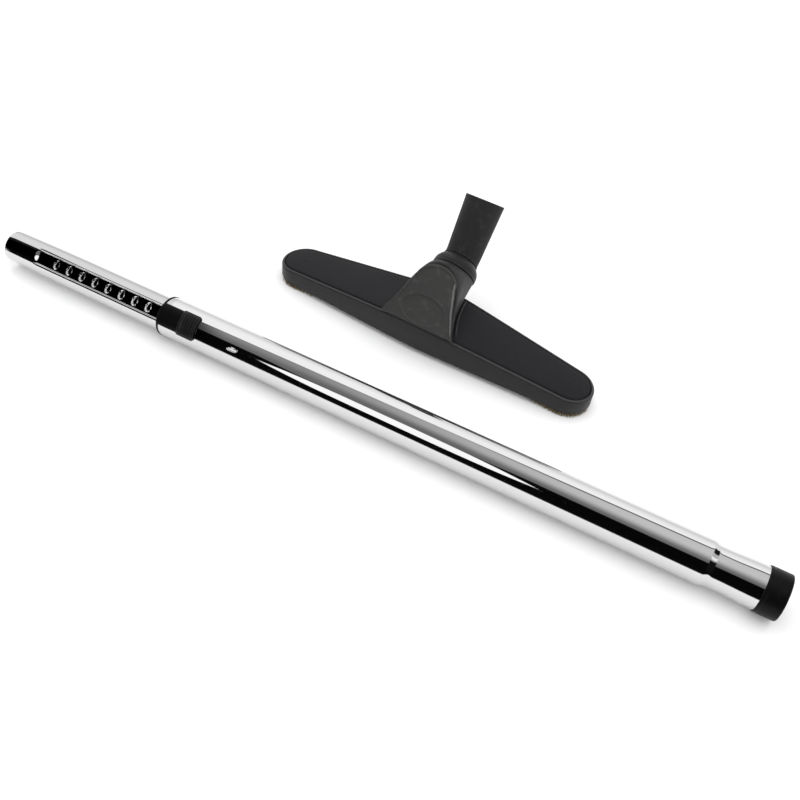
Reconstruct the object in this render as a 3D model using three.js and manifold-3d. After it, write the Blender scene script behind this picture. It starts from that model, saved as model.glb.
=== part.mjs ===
// Telescopic chromed vacuum wand and hard-floor brush tool, laid out side by side.
// Millimetres, +Z up. +X runs along the wand towards its hose end, and the floor tool lies on its +Y side.
// The origin is under the middle of the pair, on the surface that both lie on.
import * as THREE from 'three';
import { mergeVertices } from 'three/addons/utils/BufferGeometryUtils.js';
import Module from 'manifold-3d';

const wasm = await Module();
wasm.setup();

// ---- general ----
const ROUND = 40;            // sides of a large round piece
const GAP = 0.3;             // clearance between pieces that rest on or sit in each other

// ---- wand: places along its axis ----
const TIP_X = -373;          // end of the inner tube that takes the floor tool
const RIM_X = -186.5;        // mouth of the outer tube
const SHOULDER_X = 315;      // the outer tube starts to neck down
const NECK_X = 320;          // the neck is at its narrowest
const FLARE_X = 350;         // the neck has flared out again
const COLLAR_X = 356;        // inner edge of the end collar
const HOSE_X = 373;          // outer face of the end collar
const INNER_END_X = 154;     // end of the inner tube inside the outer tube
// ---- wand: radii ----
const OUTER_R = 18.4;
const NECK_R = 16.75;
const FLARE_R = 17.65;
const INNER_R = 15.9;
const TIP_R = 14.8;
const WALL = 1.0;
const COLLAR_R = 18.7;
// ---- wand: where it lies ----
const WAND_Y = -104.56;
const WAND_Z = COLLAR_R;
const LOCK_TURN = THREE.MathUtils.degToRad(44);   // the lock leans from the top towards -Y
// ---- wand: stop slots and lock ----
const SLOT_PITCH = 15.4;
const SLOT_COUNT = 27;
const FIRST_SLOT_X = -310.8;
const CHANNEL_START_X = -334;
const CHANNEL_HALF = 7.4;    // half the width of the flat pressed along the inner tube
const SLOT_SIZE = [3.0, 5.2, 1.9];   // half sizes of a stop slot
const LOCK_X = FIRST_SLOT_X + 10 * SLOT_PITCH;    // the roller sits over the eleventh slot
const LOCK_END_X = -147;
const SADDLE_HALF = 10;
const SADDLE_R = 19.0;
const SLIDER_X = [-165, -147];
const SLIDER_HALF = 11.75;
const SLIDER_R = [19.3, 21.2];
const ROLLER_R = 2.0;
const ROLLER_HALF = 3.2;
const SPRING_X = [-164.4, -151.4];
const SPRING_CENTRE_R = 18.1;
const SLEEVE_X = 110;        // start of the pale sleeve near the inner tube's end
const DIMPLE = [-107, -2.2];
const CHANNEL_FLOOR = Math.sqrt(INNER_R ** 2 - CHANNEL_HALF ** 2);

// ---- floor tool: where it lies ----
const TOOL_X = 13;
const TOOL_Y = WAND_Y + 131;
const TOOL_TURN = THREE.MathUtils.degToRad(-3.2);
// ---- floor tool: base ----
const BASE_HALF = 167.6;     // half its length
const END_R = 22.6;          // round ends
const FRONT_BOW = 29.5;      // reach to the front at the middle
const BACK_BOW = 36.6;       // reach to the back at the middle
const MIDDLE_H = 31.7;       // height of the edge at the middle
const END_H = 18.5;          // and at the ends
const CROWN = 1.6;           // the top stands this much above the edge
const SKIRT_Z = 5;           // lower edge of the walls
const BASE_WALL = 2.5;
// ---- floor tool: swivel neck, all in the plane across the base ----
const SWIVEL = new THREE.Vector3(0, 47.2, 59.0);                  // centre of the collar's outer face
const SWIVEL_TILT = THREE.MathUtils.degToRad(60);                 // swivel axis from the vertical
const NECK_TILT = THREE.MathUtils.degToRad(33.5);                 // socket axis from the vertical
const swivelAxis = new THREE.Vector3(0, Math.sin(SWIVEL_TILT), Math.cos(SWIVEL_TILT));
const socketAxis = new THREE.Vector3(0, Math.sin(NECK_TILT), Math.cos(NECK_TILT));
const BEND_U = 5.65;         // the bend lies this far out along the swivel axis
const SOCKET_LENGTH = 56;
const SOCKET_R = [16.9, 19.1];
const SOCKET_BORE = [14.2, 16.1];
const COLLAR_OUT_R = 22.3;   // the swivel collar is a dome, widest where it meets the hood
const COLLAR_LENGTH = 13;
const CAVITY_R = 17.4;       // room in the collar for the elbow's flange
const FLANGE_R = 17.0;
const SPIGOT_R = 15.4;
const SPOUT_BORE = 14.2;
const FLANGE_U = [-7.3, -4.4];   // the elbow's flange, along the swivel axis
const SEAL_U = [-9.6, -7.6];
const SEAT_U = -9.9;
// ---- floor tool: hood ----
const PANEL_FOOT = new THREE.Vector3(0, -30, 32.8);
const PANEL_SLOPE = THREE.MathUtils.degToRad(46);
const PANEL_RISE = 59;
const PANEL_THICK = 2.2;
// ---- floor tool: sole and brush ----
const SOLE_Z = [11, 13.5];
const RING_Z = [7.5, 10.7];
const BRISTLE_TOP = 7.2;
const BRUSH_R = 15.8;
const BRUSH_HALF = 1.9;
const BRUSH_SPLIT_X = 122;
const SLOT_HALF_X = 112;
const SLOT_HALF_Y = 6.5;
const SCREWS = [[-132, 0], [132, 0], [-52, -10.4], [52, -10.4], [-52, 10.4], [52, 10.4]];

// ---------------------------------------------------------------- solids
function bare(geometry) {
  const g = geometry.index ? geometry.toNonIndexed() : geometry.clone();
  for (const name of Object.keys(g.attributes)) {
    if (name !== 'position') g.deleteAttribute(name);
  }
  return mergeVertices(g, 1e-4);
}

function signedVolume(positions, index) {
  const a = new THREE.Vector3();
  const b = new THREE.Vector3();
  const c = new THREE.Vector3();
  let sum = 0;
  for (let i = 0; i < index.length; i += 3) {
    a.fromArray(positions, index[i] * 3);
    b.fromArray(positions, index[i + 1] * 3);
    c.fromArray(positions, index[i + 2] * 3);
    sum += a.dot(b.cross(c));
  }
  return sum / 6;
}

// A closed geometry as a solid. Faces that point inwards are turned round.
function solid(geometry) {
  const g = bare(geometry);
  const vertProperties = new Float32Array(g.attributes.position.array);
  const index = [];
  for (let i = 0; i < g.index.count; i += 3) {
    const [a, b, c] = [g.index.getX(i), g.index.getX(i + 1), g.index.getX(i + 2)];
    if (a !== b && b !== c && c !== a) index.push(a, b, c);
  }
  if (signedVolume(vertProperties, index) < 0) index.reverse();
  return new wasm.Manifold(new wasm.Mesh({ numProp: 3, vertProperties, triVerts: new Uint32Array(index) }));
}

function geometryOf(body) {
  const mesh = body.getMesh();
  const g = new THREE.BufferGeometry();
  g.setAttribute('position', new THREE.BufferAttribute(new Float32Array(mesh.vertProperties), 3));
  g.setIndex(Array.from(mesh.triVerts));
  g.computeVertexNormals();
  return g;
}

function addTo(group, name, body, colour, roughness = 0.5, metalness = 0) {
  const material = new THREE.MeshStandardMaterial({ color: colour, roughness, metalness });
  const mesh = new THREE.Mesh(geometryOf(body), material);
  mesh.name = name;
  group.add(mesh);
}

// Turns a closed outline of [along X, radius] points about the X axis.
function revolve(outline, sides = ROUND) {
  const points = outline.map(([along, radius]) => new THREE.Vector2(radius, along));
  const onAxis = outline[0][1] === 0 && outline[outline.length - 1][1] === 0;
  if (!onAxis) points.push(points[0].clone());
  return new THREE.LatheGeometry(points, sides).rotateZ(-Math.PI / 2);
}

function box(x, y, z) {
  const g = new THREE.BoxGeometry(x[1] - x[0], y[1] - y[0], z[1] - z[0]);
  return g.translate((x[0] + x[1]) / 2, (y[0] + y[1]) / 2, (z[0] + z[1]) / 2);
}

function ball(centre, size, across = 8, down = 6) {
  const g = new THREE.SphereGeometry(1, across, down);
  return g.scale(...size).translate(...centre);
}

function upright(x, y, radius, z, sides = 16) {
  const g = new THREE.CylinderGeometry(radius, radius, z[1] - z[0], sides).rotateX(Math.PI / 2);
  return g.translate(x, y, (z[0] + z[1]) / 2);
}

// Moves a geometry made about the X axis so that X runs along a direction from a point.
function along(geometry, origin, direction) {
  const turn = new THREE.Quaternion().setFromUnitVectors(new THREE.Vector3(1, 0, 0), direction);
  return geometry.applyQuaternion(turn).translate(origin.x, origin.y, origin.z);
}

// Skins rings of equal length, each a list of [x, y, z], and closes both ends with a fan.
function loft(rings) {
  const count = rings[0].length;
  const middle = (ring) => [0, 1, 2].map((k) => ring.reduce((sum, p) => sum + p[k], 0) / count);
  const points = [...rings.flat(), middle(rings[0]), middle(rings[rings.length - 1])];
  const first = rings.length * count;
  const index = [];
  for (let i = 0; i < count; i += 1) {
    const next = (i + 1) % count;
    for (let r = 0; r < rings.length - 1; r += 1) {
      const [a, b] = [r * count + i, r * count + next];
      index.push(a, b, b + count, a, b + count, a + count);
    }
    const last = (rings.length - 1) * count;
    index.push(first, next, i);
    index.push(first + 1, last + i, last + next);
  }
  const g = new THREE.BufferGeometry();
  g.setAttribute('position', new THREE.BufferAttribute(new Float32Array(points.flat()), 3));
  g.setIndex(index);
  return g;
}

// ---------------------------------------------------------------- wand
function outerTube() {
  const skin = [[RIM_X, OUTER_R], [SHOULDER_X, OUTER_R], [NECK_X, NECK_R], [NECK_X + 8, NECK_R]];
  skin.push([FLARE_X - 6, FLARE_R - 0.35], [FLARE_X, FLARE_R], [HOSE_X - 1.5, FLARE_R]);
  const bore = skin.map(([x, r]) => [x, r - WALL]).reverse();
  const tube = solid(revolve([...skin, ...bore]));
  const notchHalf = SADDLE_HALF + GAP;
  const notch = solid(box([RIM_X - 1, LOCK_END_X], [-notchHalf, notchHalf], [5, 30]));
  const dimple = solid(ball([...DIMPLE, OUTER_R + 0.9], [7.5, 4.2, 1.7], 16, 8));
  return tube.subtract(notch).subtract(dimple);
}

function innerRadius(x) {
  const [start, full] = [TIP_X + 60, TIP_X + 85];
  const part = THREE.MathUtils.clamp((x - start) / (full - start), 0, 1);
  return TIP_R + (INNER_R - TIP_R) * part * part * (3 - 2 * part);
}

// One ring of the inner tube. The flat fades in at the start of the channel.
function innerRing(x, wall) {
  const radius = innerRadius(x);
  const depth = THREE.MathUtils.clamp((x - CHANNEL_START_X) / 5, 0, 1);
  const flat = radius - (INNER_R - CHANNEL_FLOOR) * depth - wall;
  const ring = [];
  for (let i = 0; i < ROUND; i += 1) {
    const angle = (i / ROUND) * 2 * Math.PI;
    const round = (radius - wall) * Math.cos(angle);
    ring.push([x, (radius - wall) * Math.sin(angle), Math.min(round, flat)]);
  }
  return ring;
}

function innerTube() {
  const stations = [0, CHANNEL_START_X - TIP_X, CHANNEL_START_X - TIP_X + 5, 60, 68, 77, 85];
  const places = [...stations.map((s) => TIP_X + s), INNER_END_X];
  const skin = solid(loft(places.map((x) => innerRing(x, 0))));
  const open = [TIP_X - 1, ...places, INNER_END_X + 1];
  let bore = solid(loft(open.map((x) => innerRing(x, WALL))));
  let tube = skin;
  for (let k = 0; k < SLOT_COUNT; k += 1) {
    const centre = [FIRST_SLOT_X + k * SLOT_PITCH, 0, CHANNEL_FLOOR + 0.05];
    if (k * SLOT_PITCH < 85 + TIP_X - FIRST_SLOT_X) centre[2] -= INNER_R - innerRadius(centre[0]);
    tube = tube.subtract(solid(ball(centre, SLOT_SIZE)));
    bore = bore.subtract(solid(ball(centre, SLOT_SIZE.map((s) => s + WALL), 6, 4)));
  }
  return tube.subtract(bore);
}

// The moulding in the tube's mouth: a sleeve, a thin flange and the saddle that fills the notch.
function guideBush() {
  const flangeX = [RIM_X - GAP - 1.7, RIM_X - GAP];
  const inside = INNER_R + 0.25;
  const sleeveR = OUTER_R - WALL - GAP;
  const outline = [[flangeX[0], inside], [flangeX[0], OUTER_R - 0.1], [flangeX[0] + 0.6, OUTER_R + 0.3]];
  outline.push([flangeX[1], OUTER_R + 0.3], [flangeX[1], sleeveR], [LOCK_END_X + 3, sleeveR]);
  outline.push([LOCK_END_X + 3, inside]);
  const ring = solid(revolve(outline));
  const saddleEnd = LOCK_END_X - GAP;
  const band = [[flangeX[0], inside], [flangeX[0], SADDLE_R], [saddleEnd, SADDLE_R], [saddleEnd, inside]];
  const block = box([RIM_X - 3, LOCK_END_X], [-SADDLE_HALF, SADDLE_HALF], [5, 30]);
  const saddle = solid(revolve(band)).intersect(solid(block));
  const pocketHalf = [ROLLER_R + 0.4, ROLLER_HALF + 0.4];
  const pocketX = [LOCK_X - pocketHalf[0], LOCK_X + pocketHalf[0]];
  const pocket = solid(box(pocketX, [-pocketHalf[1], pocketHalf[1]], [5, 30]));
  const leafSeat = solid(box([SLIDER_X[0] + 1, LOCK_X + 6.5], [-3.3, 3.3], [18.25, 30]));
  const [springStart, springEnd] = SPRING_X;
  const seatOutline = [[springStart, 0], [springStart, 1.15], [springEnd, 1.15], [springEnd, 0]];
  const springSeat = solid(revolve(seatOutline, 12).translate(0, ...springCentre()));
  return ring.add(saddle).subtract(pocket).subtract(leafSeat).subtract(springSeat);
}

function springCentre() {
  const angle = THREE.MathUtils.degToRad(25);
  return [SPRING_CENTRE_R * Math.sin(angle), SPRING_CENTRE_R * Math.cos(angle)];
}

// Ribbed thumb piece, curved to lie over the saddle.
function releaseSlider() {
  const [start, end] = SLIDER_X;
  const [under, top] = SLIDER_R;
  const outline = [[start, under], [start, top - 0.7], [start + 1, top]];
  const ribs = 5;
  const pitch = (end - start - 4) / ribs;
  for (let i = 0; i < ribs; i += 1) {
    const x = start + 2.5 + i * pitch;
    outline.push([x, top], [x + pitch * 0.25, top - 0.8], [x + pitch * 0.5, top - 0.8]);
    outline.push([x + pitch * 0.75, top]);
  }
  outline.push([end - 0.8, top], [end, top - 0.8], [end, under]);
  const block = box([start - 1, end + 1], [-SLIDER_HALF, SLIDER_HALF], [5, 30]);
  return solid(revolve(outline, 48)).intersect(solid(block));
}

function lockRoller() {
  const height = CHANNEL_FLOOR + 0.15 + ROLLER_R;
  const g = new THREE.CylinderGeometry(ROLLER_R, ROLLER_R, 2 * ROLLER_HALF, 16);
  return solid(g.translate(LOCK_X, 0, height));
}

function rollerLeaf() {
  const z = [CHANNEL_FLOOR + 0.45 + 2 * ROLLER_R, CHANNEL_FLOOR + 0.75 + 2 * ROLLER_R];
  return solid(box([SLIDER_X[0] + 1.4, LOCK_X + 6.1], [-2.9, 2.9], z));
}

// Small compression spring that returns the slider.
function sliderSpring() {
  const turns = 5;
  const [y, z] = springCentre();
  const points = [];
  for (let i = 0; i <= turns * 8; i += 1) {
    const angle = (i / 8) * 2 * Math.PI;
    const x = SPRING_X[0] + 0.6 + ((SPRING_X[1] - SPRING_X[0] - 1.2) * i) / (turns * 8);
    points.push(new THREE.Vector3(x, y + 0.7 * Math.cos(angle), z + 0.7 * Math.sin(angle)));
  }
  const wire = new THREE.Shape().absellipse(0, 0, 0.18, 0.18, 0, 2 * Math.PI);
  const path = new THREE.CatmullRomCurve3(points);
  const settings = { steps: turns * 9, curveSegments: 3, extrudePath: path, bevelEnabled: false };
  return solid(new THREE.ExtrudeGeometry(wire, settings));
}

function innerSleeve() {
  const [start, end] = [SLEEVE_X, INNER_END_X - 1];
  const [inside, outside] = [INNER_R + GAP, OUTER_R - WALL - 0.25];
  return solid(revolve([[start, inside], [start, outside], [end, outside], [end, inside]]));
}

function endCollar() {
  const lipX = HOSE_X - 1.2;
  const inside = FLARE_R + GAP;
  const outline = [[COLLAR_X, inside], [COLLAR_X, COLLAR_R - 0.5], [COLLAR_X + 0.8, COLLAR_R]];
  outline.push([HOSE_X - 1.6, COLLAR_R], [HOSE_X, COLLAR_R - 1.0], [HOSE_X, FLARE_R - WALL]);
  outline.push([lipX, FLARE_R - WALL], [lipX, inside]);
  return solid(revolve(outline));
}

// ---------------------------------------------------------------- floor tool
function softAbs(x) {
  const soft = 14;
  return Math.sqrt(x * x + soft * soft) - soft;
}

// Reach of the base from its long axis at x, towards the front or the back.
function reach(x, bow, grow) {
  const straight = BASE_HALF - END_R;
  if (Math.abs(x) > straight) {
    return Math.sqrt(Math.max((END_R + grow) ** 2 - (Math.abs(x) - straight) ** 2, 0.04));
  }
  return bow + grow - ((bow - END_R) * softAbs(x)) / softAbs(straight);
}

function edgeHeight(x) {
  return MIDDLE_H - ((MIDDLE_H - END_H) * softAbs(x)) / softAbs(BASE_HALF);
}

function baseSection(x, grow, bottom) {
  const front = -reach(x, FRONT_BOW, grow);
  const back = reach(x, BACK_BOW, grow);
  const h = edgeHeight(x) + grow;
  const bevel = Math.min(3, (back - front) / 4);
  const round = [[front, bottom], [front, h], [front + bevel * 0.35, h + CROWN * 0.7]];
  round.push([front + bevel, h + CROWN], [back - bevel, h + CROWN], [back - bevel * 0.35, h + CROWN * 0.7]);
  round.push([back, h], [back, bottom]);
  return round.map(([y, z]) => [x, y, z]);
}

function baseBlock(grow, bottom) {
  const straight = BASE_HALF - END_R;
  const stations = [0, 8, 18, 34, 60, 100, straight];
  const steps = 6;
  for (let i = 1; i <= steps; i += 1) {
    stations.push(straight + (END_R + grow) * Math.sin((i / steps) * (Math.PI / 2)) * 0.9999);
  }
  const left = stations.slice(1).reverse().map((x) => -x);
  return solid(loft([...left, ...stations].map((x) => baseSection(x, grow, bottom))));
}

function ductHole(half, y, z) {
  return solid(box([-half, half], y, z));
}

function baseHousing() {
  let shell = baseBlock(0, SKIRT_Z).subtract(baseBlock(-BASE_WALL, SKIRT_Z - 2));
  for (const [x, y] of SCREWS) {
    const boss = upright(x, y, 3.4, [SOLE_Z[1] + GAP, edgeHeight(x) + 0.5]);
    shell = shell.add(solid(boss));
    shell = shell.subtract(solid(upright(x, y, 1.8, [SOLE_Z[1] - 1, SOLE_Z[1] + 7], 12)));
  }
  return shell.subtract(ductHole(20, [-18, 16], [20, 50]));
}

// Footprint of the hood: wide at the front, narrow at the back, round corners.
function hoodFoot(inset, z, count) {
  const [frontY, backY] = [-27.5 + inset, 29 - inset];
  const [frontHalf, backHalf] = [36 - inset, 17 - inset];
  const corner = 5;
  const shape = new THREE.Shape();
  shape.moveTo(0, frontY);
  shape.lineTo(frontHalf - corner, frontY);
  shape.quadraticCurveTo(frontHalf, frontY, frontHalf - 1, frontY + corner);
  shape.quadraticCurveTo(backHalf + 4, 0, backHalf, backY - corner);
  shape.quadraticCurveTo(backHalf, backY, backHalf - corner, backY);
  shape.lineTo(corner - backHalf, backY);
  shape.quadraticCurveTo(-backHalf, backY, -backHalf, backY - corner);
  shape.quadraticCurveTo(-backHalf - 4, 0, 1 - frontHalf, frontY + corner);
  shape.quadraticCurveTo(-frontHalf, frontY, corner - frontHalf, frontY);
  shape.closePath();
  return shape.getSpacedPoints(count).slice(0, count).map((p) => [p.x, p.y, z]);
}

// Hood body: its foot drawn in to the round shoulder, with a full front that rises to the brow.
function hoodBody(inset, z, shoulderR, shoulderU, brow) {
  const count = 34;
  const foot = hoodFoot(inset, z, count);
  const centre = SWIVEL.clone().addScaledVector(swivelAxis, shoulderU);
  const up = new THREE.Vector3(0, -swivelAxis.z, swivelAxis.y);
  const rings = [];
  const steps = 7;
  for (let k = 0; k <= steps; k += 1) {
    const part = k / steps;
    const pull = 1 - (1 - part) ** 1.7;
    rings.push(foot.map(([x, y, low], i) => {
      const angle = (i / count) * 2 * Math.PI;
      const rise = shoulderR * Math.cos(angle);
      const end = [shoulderR * Math.sin(angle), centre.y + up.y * rise, centre.z + up.z * rise];
      const front = Math.max(Math.cos(angle), 0) ** 0.7;
      const mid = [y, low].map((v, n) => (v + end[n + 1]) / 2);
      const pulled = mid.map((v, n) => v + (brow[n] - v) * front);
      const blend = [y, low].map((v, n) => {
        const start = (1 - part) ** 2 * v;
        return start + 2 * part * (1 - part) * pulled[n] + part * part * end[n + 1];
      });
      return [x + (end[0] - x) * pull, blend[0], blend[1]];
    }));
  }
  return solid(loft(rings));
}

// Things that lie on the sloping front of the hood are made flat, then leaned back.
function onPanel(geometry) {
  return geometry.rotateX(PANEL_SLOPE).translate(0, PANEL_FOOT.y, PANEL_FOOT.z);
}

// Half width of the panel at a distance up its slope: flared at the foot, arched at the top.
function panelOutline(grow) {
  const [archHalf, archY] = [20.2, 44];
  const side = [[38.2, 0], [35.6, 4], [32.8, 10], [27.7, 22], [22.4, 38], [archHalf, archY]];
  const steps = 8;
  for (let i = 1; i < steps; i += 1) {
    const angle = (i / steps) * (Math.PI / 2);
    side.push([archHalf * Math.cos(angle), archY + (PANEL_RISE - archY) * Math.sin(angle) ** 1.15]);
  }
  const right = side.map(([x, y], i) => new THREE.Vector2(x + grow, i === 0 ? -grow : y));
  const left = right.map((p) => new THREE.Vector2(-p.x, p.y)).reverse();
  return new THREE.Shape([...right, new THREE.Vector2(0, PANEL_RISE + grow), ...left]);
}

function panelPlate(grow, z) {
  const settings = { depth: z[1] - z[0], bevelEnabled: false, curveSegments: 16 };
  const g = new THREE.ExtrudeGeometry(panelOutline(grow), settings).translate(0, 0, z[0]);
  return solid(onPanel(g));
}

function hoodRearShell() {
  const shoulderU = -COLLAR_LENGTH - GAP;
  const [spoutU, boreU] = [shoulderU - 4, shoulderU - 2];
  const spout = revolve([[spoutU, 0], [spoutU, FLANGE_R], [SEAT_U, FLANGE_R], [SEAT_U, 0]]);
  const outside = hoodBody(0, 29, COLLAR_OUT_R - 0.8, shoulderU, [2, 92]);
  const bore = revolve([[boreU, 0], [boreU, SPOUT_BORE], [SEAT_U + 2, SPOUT_BORE], [SEAT_U + 2, 0]]);
  const hollow = hoodBody(3, 26, SPOUT_BORE, shoulderU - 1, [2, 78]);
  const inside = hollow.add(solid(along(bore, SWIVEL, swivelAxis)));
  const above = onPanel(box([-60, 60], [-40, PANEL_RISE + 0.5], [-PANEL_THICK - GAP, 60]));
  const body = outside.subtract(solid(above)).add(solid(along(spout, SWIVEL, swivelAxis)));
  return body.subtract(inside).subtract(baseBlock(GAP, 0));
}

function hoodFrontPanel() {
  const plate = panelPlate(0, [-PANEL_THICK, 0]);
  const badge = new THREE.CylinderGeometry(1, 1, 1.2, 28).rotateX(Math.PI / 2).scale(21.5, 13, 1);
  const recess = solid(onPanel(badge.translate(0, 15, 0.1)));
  return plate.subtract(recess).subtract(baseBlock(GAP, 0));
}

function swivelCollar() {
  const r = COLLAR_OUT_R;
  const [holeR, lipU] = [SPIGOT_R + 0.4, FLANGE_U[1] + 0.4];
  const outline = [[-COLLAR_LENGTH, CAVITY_R], [-COLLAR_LENGTH, r - 0.5], [-COLLAR_LENGTH + 0.6, r]];
  outline.push([-8, r - 0.3], [-4.5, r - 1.5], [-2, r - 3.3], [-0.6, r - 4.4], [0, r - 5.4]);
  outline.push([0, holeR], [lipU, holeR], [lipU, CAVITY_R]);
  return solid(along(revolve(outline), SWIVEL, swivelAxis));
}

function swivelSeal() {
  const inside = SPOUT_BORE + 0.2;
  const ring = [[SEAL_U[0], inside], [SEAL_U[0], FLANGE_R], [SEAL_U[1], FLANGE_R], [SEAL_U[1], inside]];
  return solid(along(revolve(ring), SWIVEL, swivelAxis));
}

// Spigot held in the collar, a rounded bend, and the tapered socket for the wand's tip.
function elbowTube() {
  const bend = SWIVEL.clone().addScaledVector(swivelAxis, BEND_U);
  const [footU, flangeU] = FLANGE_U;
  const spigot = [[footU, 0], [footU, FLANGE_R], [flangeU, FLANGE_R], [flangeU, SPIGOT_R]];
  spigot.push([GAP, SPIGOT_R], [GAP, SOCKET_R[0]], [BEND_U, SOCKET_R[0]], [BEND_U, 0]);
  const cone = [[0, 0], [0, SOCKET_R[0]], [SOCKET_LENGTH, SOCKET_R[1]], [SOCKET_LENGTH, 0]];
  const knee = (r) => solid(ball(bend.toArray(), [r, r, r], 20, 10));
  const skin = solid(along(revolve(spigot), SWIVEL, swivelAxis))
    .add(solid(along(revolve(cone), bend, socketAxis)))
    .add(knee(SOCKET_R[0]));
  const boreR = 13;
  const through = [[footU - 2, 0], [footU - 2, boreR], [BEND_U, boreR], [BEND_U, 0]];
  const deep = SOCKET_LENGTH + 1;
  const socket = [[0, 0], [0, SOCKET_BORE[0]], [deep, SOCKET_BORE[1]], [deep, 0]];
  const hollow = solid(along(revolve(through), SWIVEL, swivelAxis))
    .add(solid(along(revolve(socket), bend, socketAxis)))
    .add(knee(SOCKET_BORE[0]));
  const below = solid(along(box([-30, footU], [-30, 30], [-30, 30]), SWIVEL, swivelAxis));
  const groove = [[flangeU, SPIGOT_R], [flangeU, 30], [GAP, 30], [GAP, SPIGOT_R]];
  const collarRoom = solid(along(revolve(groove), SWIVEL, swivelAxis));
  return skin.subtract(collarRoom).subtract(below).subtract(hollow);
}

function soleFrame() {
  const slab = solid(box([-200, 200], [-60, 60], SOLE_Z));
  const through = [SOLE_Z[0] - 1, SOLE_Z[1] + 1];
  const slot = solid(box([-SLOT_HALF_X, SLOT_HALF_X], [-SLOT_HALF_Y, SLOT_HALF_Y], through));
  let frame = baseBlock(-BASE_WALL - GAP, 0).intersect(slab).subtract(slot);
  for (const [x, y] of SCREWS) {
    frame = frame.subtract(solid(upright(x, y, 1.8, through, 12)));
  }
  return frame;
}

function stadium(radius) {
  const half = BASE_HALF - END_R;
  const shape = new THREE.Shape();
  shape.moveTo(-half, -radius);
  shape.lineTo(half, -radius);
  shape.absarc(half, 0, radius, -Math.PI / 2, Math.PI / 2, false);
  shape.lineTo(-half, radius);
  shape.absarc(-half, 0, radius, Math.PI / 2, (3 * Math.PI) / 2, false);
  return shape;
}

function stadiumBand(halfWidth, z) {
  const settings = { depth: z[1] - z[0], bevelEnabled: false, curveSegments: 14 };
  const outside = new THREE.ExtrudeGeometry(stadium(BRUSH_R + halfWidth), settings).translate(0, 0, z[0]);
  const deeper = { ...settings, depth: settings.depth + 2 };
  const inside = new THREE.ExtrudeGeometry(stadium(BRUSH_R - halfWidth), deeper).translate(0, 0, z[0] - 1);
  return solid(outside).subtract(solid(inside));
}

function bristles(x, y) {
  return stadiumBand(BRUSH_HALF, [0, BRISTLE_TOP]).intersect(solid(box(x, y, [-1, 20])));
}

function soleScrew(x, y) {
  const head = upright(x, y, 3.0, [SOLE_Z[0] - GAP - 1.5, SOLE_Z[0] - GAP], 16);
  const shank = upright(x, y, 1.5, [SOLE_Z[0] - 0.5, SOLE_Z[1] + 6], 12);
  return solid(head).add(solid(shank));
}

// ---------------------------------------------------------------- assembly
const CHROME = '#c9cbce';
const BLACK = '#161617';
const CHARCOAL = '#1f2023';
const GREY_BLACK = '#2b2b2c';

const wand = new THREE.Group();
wand.position.set(0, WAND_Y, WAND_Z);
wand.rotation.x = LOCK_TURN;
addTo(wand, 'wand_outer_tube', outerTube(), CHROME, 0.08, 1);
addTo(wand, 'wand_inner_tube', innerTube(), CHROME, 0.08, 1);
addTo(wand, 'guide_bush', guideBush(), BLACK, 0.4);
addTo(wand, 'release_slider', releaseSlider(), BLACK, 0.4);
addTo(wand, 'lock_roller', lockRoller(), '#a8a9ab', 0.25, 1);
addTo(wand, 'roller_leaf_spring', rollerLeaf(), '#9a9b9d', 0.3, 1);
addTo(wand, 'slider_return_spring', sliderSpring(), '#9a9b9d', 0.3, 1);
addTo(wand, 'inner_guide_sleeve', innerSleeve(), '#e4e2dc', 0.5);
addTo(wand, 'end_collar', endCollar(), BLACK, 0.35);

const tool = new THREE.Group();
tool.position.set(TOOL_X, TOOL_Y, 0);
tool.rotation.z = TOOL_TURN;
addTo(tool, 'base_housing', baseHousing(), CHARCOAL, 0.45);
addTo(tool, 'hood_rear_shell', hoodRearShell(), GREY_BLACK, 0.55);
addTo(tool, 'hood_front_panel', hoodFrontPanel(), GREY_BLACK, 0.6);
addTo(tool, 'swivel_collar', swivelCollar(), GREY_BLACK, 0.55);
addTo(tool, 'swivel_seal', swivelSeal(), '#3a3a38', 0.9);
addTo(tool, 'elbow_tube', elbowTube(), GREY_BLACK, 0.5);
addTo(tool, 'sole_frame', soleFrame(), CHARCOAL, 0.5);
addTo(tool, 'brush_ring', stadiumBand(BRUSH_HALF + 0.5, RING_Z), BLACK, 0.5);
const reachX = BASE_HALF + 5;
addTo(tool, 'front_bristles', bristles([-BRUSH_SPLIT_X, BRUSH_SPLIT_X], [-30, 0]), '#4a2a22', 0.8);
addTo(tool, 'rear_bristles', bristles([-BRUSH_SPLIT_X, BRUSH_SPLIT_X], [0, 30]), '#4a2a22', 0.8);
addTo(tool, 'left_bristles', bristles([-reachX, -BRUSH_SPLIT_X - GAP], [-30, 30]), '#4a2a22', 0.8);
addTo(tool, 'right_bristles', bristles([BRUSH_SPLIT_X + GAP, reachX], [-30, 30]), '#4a2a22', 0.8);
SCREWS.forEach(([x, y], i) => addTo(tool, `sole_screw_${i + 1}`, soleScrew(x, y), '#8d8f92', 0.3, 1));

const assembly = new THREE.Group();
assembly.add(wand, tool);
export default assembly;
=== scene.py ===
import math

import bmesh
import bpy
from mathutils import Matrix, Vector

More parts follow.
